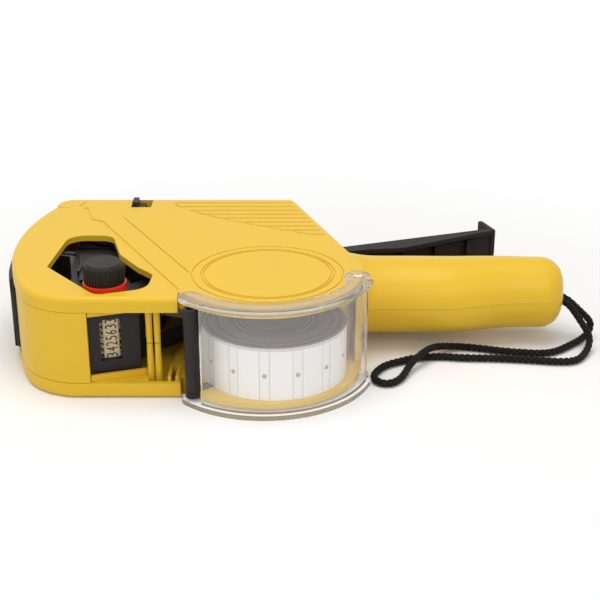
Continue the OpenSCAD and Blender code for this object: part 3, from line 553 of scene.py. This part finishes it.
easing = {
    "weld": 0.002,  # mm
    "flat": 0.3,  # degrees; flatter joints between faces are dissolved
    "steep": 35,  # sharper edges are bevelled
    "segments": 2,
    "crease": 32,  # sharper edges stay crisp in the shading
}
handleSeam = {
    "z": 21.25,  # mm
    "within": 0.002,
    "from": 47,
    "to": 121,
    "steep": 60,  # degrees
    "ease": 0.22,
}
meshSocket = {"Mesh": "NodeSocketGeometry"}


def compare(group, value, operation, limit):
    values = {0: value, 1: limit}
    return addNode(group, "FunctionNodeCompare", values, data_type="FLOAT", operation=operation)


def edgeAngle(group):
    return group.nodes.new("GeometryNodeInputMeshEdgeAngle").outputs["Unsigned Angle"]


def makeSoftShade():
    # rounds the shading over shallow edges and keeps it crisp over steep ones
    group, start, end = newGroup("softShade", "GeometryNodeTree", meshSocket, meshSocket)
    rounded = addNode(group, "GeometryNodeSetShadeSmooth", {"Geometry": start[0]}, domain="FACE")
    steep = compare(group, edgeAngle(group), "GREATER_THAN", math.radians(easing["crease"]))
    values = {"Geometry": rounded.outputs[0], "Selection": steep.outputs[0], "Shade Smooth": False}
    crisp = addNode(group, "GeometryNodeSetShadeSmooth", values, domain="EDGE")
    feed(group, end, {0: crisp.outputs[0]})
    return group


def makeSeamMarks():
    # weighs the edges along the handle's seam, for the bevel that follows
    group, start, end = newGroup("seamMarks", "GeometryNodeTree", meshSocket, meshSocket)
    place = group.nodes.new("GeometryNodeInputPosition").outputs[0]
    axes = addNode(group, "ShaderNodeSeparateXYZ", {0: place}).outputs
    level = compare(group, axes["Z"], "EQUAL", handleSeam["z"] * mm)
    level.inputs["Epsilon"].default_value = handleSeam["within"] * mm
    tests = [
        level,
        compare(group, axes["X"], "GREATER_THAN", handleSeam["from"] * mm),
        compare(group, axes["X"], "LESS_THAN", handleSeam["to"] * mm),
        compare(group, edgeAngle(group), "GREATER_THAN", math.radians(handleSeam["steep"])),
    ]
    every = tests[0].outputs[0]
    for test in tests[1:]:
        both = addNode(group, "FunctionNodeBooleanMath", {0: every, 1: test.outputs[0]}, operation="AND")
        every = both.outputs[0]
    values = {"Geometry": start[0], "Name": "bevel_weight_edge", "Value": every}
    mark = addNode(group, "GeometryNodeStoreNamedAttribute", values, data_type="FLOAT", domain="EDGE")
    feed(group, end, {0: mark.outputs[0]})
    return group


softShade = makeSoftShade()
seamMarks = makeSeamMarks()


def addBevel(obj, width, limit):
    ease = obj.modifiers.new("easeEdges", "BEVEL")
    ease.width = width * mm
    ease.segments = easing["segments"]
    ease.limit_method = limit
    ease.angle_limit = math.radians(easing["steep"])
    ease.use_clamp_overlap = False
    ease.profile = 0.5


def startDress(name, material):
    obj = nodes[name]
    obj.data.materials.clear()
    obj.data.materials.append(material)
    weld = obj.modifiers.new("closeSeams", "WELD")
    weld.merge_threshold = easing["weld"] * mm
    return obj


def endDress(obj):
    shade = obj.modifiers.new("softShade", "NODES")
    shade.node_group = softShade
    even = obj.modifiers.new("evenShade", "WEIGHTED_NORMAL")
    even.keep_sharp = True


def dress(name, material, bevel):
    # closes the loose triangles, joins flat ones and eases the sharp edges
    obj = startDress(name, material)
    flats = obj.modifiers.new("joinFlats", "DECIMATE")
    flats.decimate_type = "DISSOLVE"
    flats.angle_limit = math.radians(easing["flat"])
    if bevel:
        addBevel(obj, bevel, "ANGLE")
    endDress(obj)


def dressShell(name, material):
    # the outer edges are round already; only the handle's seam is eased
    obj = startDress(name, material)
    marks = obj.modifiers.new("seamMarks", "NODES")
    marks.node_group = seamMarks
    addBevel(obj, handleSeam["ease"], "WEIGHT")
    endDress(obj)


steelNodes = [
    "shell_screws", "ink_cover_pin", "ink_axle", "selector_shaft", "lever_pin", "return_spring", "peel_plate",
    "feed_axle", "pressure_axle", "under_cover_pin",
]
typeWheels = sorted(name for name in nodes if name.startswith("type_wheel_"))
dressing = [
    # finish, eased edge in mm, nodes
    ("yellowShell", 0.18, ["ink_cover", "under_cover"]),
    ("blackPlastic", 0.25, ["nose_guard", "cover_bar", "cover_post", "platen", "cover_latch"]),
    ("rollerRubber", 0.2, ["nose_roller", "pressure_roller"]),
    ("greyPlastic", 0.15, ["wheel_tube", "feed_wheel"]),
    ("plainSteel", 0, steelNodes),
    ("leverPlastic", 0.35, ["trigger_lever"]),
    ("headPlastic", 0.25, ["head_frame"]),
    ("knobPlastic", 0.12, ["selector_knob"]),
    ("redPlastic", 0.3, ["selector_collar"]),
    ("inkFoam", 0.3, ["ink_roller"]),
    ("coverPlastic", 0.35, ["label_cover"]),
    ("labelPaper", 0, ["label_web"]),
    # the reel hub takes the same painted-shade grey as the paper edges
    ("shadedWoundEdge", 0, ["roll_core"]),
    ("typeGold", 0.1, typeWheels),
]
for name in ("right_shell", "left_shell"):
    dressShell(name, finish["yellowShell"])
for look, bevel, names in dressing:
    for name in names:
        dress(name, finish[look], bevel)
print("CAD nodes dressed")


def finishMesh(name, shape, looks):
    bmesh.ops.recalc_face_normals(shape, faces=shape.faces)
    mesh = bpy.data.meshes.new(name)
    shape.to_mesh(mesh)
    shape.free()
    for look in looks:
        mesh.materials.append(finish[look])
    return addObject(name, mesh)


def spinRound(shape, geom, angle, steps, full=False):
    bmesh.ops.spin(
        shape, geom=geom, cent=(0, 0, 0), axis=(0, 0, 1), angle=angle, steps=steps, use_merge=full
    )


def wrapStrip(shape, low, high, start, wide, steps, full=False):
    # upright strip on the roll's round face, from an angle on
    foot = Vector((math.cos(start), math.sin(start), 0)) * rollShape["outer"]
    ends = [shape.verts.new((foot + Vector((0, 0, z))) * mm) for z in (low, high)]
    spinRound(shape, ends + [shape.edges.new(ends)], wide, steps, full)


def closeDoubles(shape):
    bmesh.ops.remove_doubles(shape, verts=shape.verts, dist=1e-7)
    bmesh.ops.recalc_face_normals(shape, faces=shape.faces)


def placeOnRoll(name, shape, looks):
    bmesh.ops.translate(shape, verts=shape.verts, vec=metres(*rollShape["axis"], 0))
    piece = finishMesh(name, shape, looks)
    piece.data.shade_smooth()
    piece.data.set_sharp_from_angle(angle=math.radians(rollShape["crease"]))
    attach(piece, "roll")
    return piece


def makeRoll(low, high):
    inner, outer, turns = rollShape["inner"], rollShape["outer"], rollShape["turns"]
    width = (outer - inner) / turns
    first, second = rollShape["ripple"]
    profile = [(inner, low)]
    for turn in range(turns):
        top = high - rollShape["step"] * (1 + math.sin(first * turn) * math.sin(second * turn))
        start, end = inner + turn * width, inner + (turn + 1) * width - rollShape["ringSlope"]
        profile += [(start, top), (end, top)]
    profile += [(outer, low)]
    shape = bmesh.new()
    verts = [shape.verts.new(metres(radius, 0, z)) for radius, z in profile]
    edges = [shape.edges.new(pair) for pair in zip(verts, verts[1:] + verts[:1])]
    spinRound(shape, verts + edges, 2 * math.pi, rollShape["spinSteps"], full=True)
    closeDoubles(shape)
    # faces off the outer side take the painted-shade grey of the wound edges
    sideFrom = (outer - rollShape["sideDeep"]) * mm
    for face in shape.faces:
        onSide = face.calc_center_median().to_2d().length > sideFrom and abs(face.normal.z) < 0.5
        face.material_index = 0 if onSide else 1
    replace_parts(placeOnRoll("labelRoll", shape, ["linerPaper", "shadedWoundEdge"]), "label_roll")


rollLabels = {
    "high": 20.2,  # mm
    "wide": 8.6,
    "foot": 0.25,  # above the roll's lower end
    "thick": 0.1,
    "pitch": 12.0,  # label to label, along the strip
    "start": 0.18,  # radians
    "steps": 8,
    "cut": 0.24,  # painted shade along the die-cut edge beside each label
    "cutThick": 0.06,
    "dot": 0.95,  # radius of the mark between labels
    "dotSides": 16,
    "dotAt": 0.47,  # share of the roll's height
    "dotProud": 0.03,
    "dotThick": 0.05,
    "bandGap": 0.1,  # above the labels
    "bandEnd": 0.2,  # below the roll's upper end
    "bandThick": 0.04,
    "bandSteps": 96,
}


def makeRollLabels(low, high):
    outer = rollShape["outer"]
    count = int(2 * math.pi * outer / rollLabels["pitch"])
    wide, cut = rollLabels["wide"] / outer, rollLabels["cut"] / outer
    base = low + rollLabels["foot"]
    top = base + rollLabels["high"]
    dotZ = low + (high - low) * rollLabels["dotAt"]
    onFace = Matrix.Translation(metres(outer + rollLabels["dotProud"], 0, dotZ))
    outward = onFace @ Matrix.Rotation(math.pi / 2, 4, "Y")
    labels, cutShades, dots, band = (bmesh.new() for sheet in range(4))
    for number in range(count):
        start = 2 * math.pi * number / count + rollLabels["start"]
        wrapStrip(labels, base, top, start, wide, rollLabels["steps"])
        # thin strips beside each label carry the painted shade of its die-cut edges
        wrapStrip(cutShades, base, top, start - cut, cut, 1)
        wrapStrip(cutShades, base, top, start + wide, cut, 1)
        spot = bmesh.ops.create_circle(
            dots, cap_ends=True, segments=rollLabels["dotSides"], radius=rollLabels["dot"] * mm
        )
        gap = start + wide / 2 + math.pi / count
        bmesh.ops.transform(dots, matrix=Matrix.Rotation(gap, 4, "Z") @ outward, verts=spot["verts"])
    bandLow, bandHigh = top + rollLabels["bandGap"], high - rollLabels["bandEnd"]
    wrapStrip(band, bandLow, bandHigh, 0, 2 * math.pi, rollLabels["bandSteps"], full=True)
    sheets = (
        ("rollBand", band, "bandPaper", rollLabels["bandThick"]),
        ("rollLabels", labels, "labelPaper", rollLabels["thick"]),
        ("rollCutShades", cutShades, "cutLineShade", rollLabels["cutThick"]),
        ("rollMarks", dots, "markGrey", rollLabels["dotThick"]),
    )
    for name, shape, look, thick in sheets:
        closeDoubles(shape)
        bmesh.ops.solidify(shape, geom=shape.faces, thickness=thick * mm)
        placeOnRoll(name, shape, [look])
    print(f"label roll wound, {count} labels")


rollLow, rollHigh = (corner[2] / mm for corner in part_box("label_roll"))
makeRoll(rollLow, rollHigh)
makeRollLabels(rollLow, rollHigh)

figures = {
    "axis": (-62.5, -8.5),  # mm
    "facing": -72.3,  # degrees, the flat behind the window
    "flats": 10,
    "flatAt": 8.37,  # axis to flat
    "high": 4.5,  # across the flat
    "wide": 1.6,  # along the axis
    "narrow": 0.45,  # share of that width for a 1
    "raise": 0.22,
    "sunk": 0.03,  # into the flat
    "curveSteps": 3,
    "shown": "3425633",  # from the lowest wheel up
}
digits = "0123456789"


def figureMesh(character):
    # a plain figure, centred, one unit high and one wide
    text = bpy.data.curves.new("figure", "FONT")
    text.body = character
    text.resolution_u = figures["curveSteps"]
    text.extrude = 0.5
    text.align_x = "CENTER"
    mesh = curveToMesh(text)
    shape = bmesh.new()
    shape.from_mesh(mesh)
    bmesh.ops.remove_doubles(shape, verts=shape.verts, dist=1e-5)
    axes = list(zip(*(vert.co for vert in shape.verts)))
    low, high = (Vector([pick(values) for values in axes]) for pick in (min, max))
    bmesh.ops.translate(shape, verts=shape.verts, vec=-(low + high) / 2)
    bmesh.ops.scale(shape, verts=shape.verts, vec=[1 / size for size in high - low])
    shape.to_mesh(mesh)
    shape.free()
    return mesh


def makeFigures():
    shapes = {digit: figureMesh(digit) for digit in digits}
    reach = figures["flatAt"] + figures["raise"] / 2 - figures["sunk"]
    for number, name in enumerate(typeWheels, 1):
        low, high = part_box(name)
        middle = metres(*figures["axis"], 0) + Vector((0, 0, (low[2] + high[2]) / 2))
        first = digits.index(figures["shown"][number - 1])
        shape = bmesh.new()
        for flat in range(figures["flats"]):
            digit = digits[(first + flat) % len(digits)]
            angle = math.radians(figures["facing"] + 360 * flat / figures["flats"])
            out = Vector((math.cos(angle), math.sin(angle), 0))
            up = Vector((math.sin(angle), -math.cos(angle), 0))
            right = Vector((0, 0, 1))
            wide = figures["wide"] * (figures["narrow"] if digit == "1" else 1)
            place = Matrix.Translation(middle + out * reach * mm)
            turn = Matrix((right, up, out)).transposed().to_4x4()
            grow = Matrix.Diagonal((wide * mm, figures["high"] * mm, figures["raise"] * mm, 1))
            known = set(shape.verts)
            shape.from_mesh(shapes[digit])
            fresh = [vert for vert in shape.verts if vert not in known]
            bmesh.ops.transform(shape, matrix=place @ turn @ grow, verts=fresh)
        piece = finishMesh(f"figures_{number}", shape, ["figureInk"])
        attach(piece, f"wheel_{number}")
    for mesh in shapes.values():
        bpy.data.meshes.remove(mesh)
    print(f"figures on {len(typeWheels)} type wheels")


makeFigures()
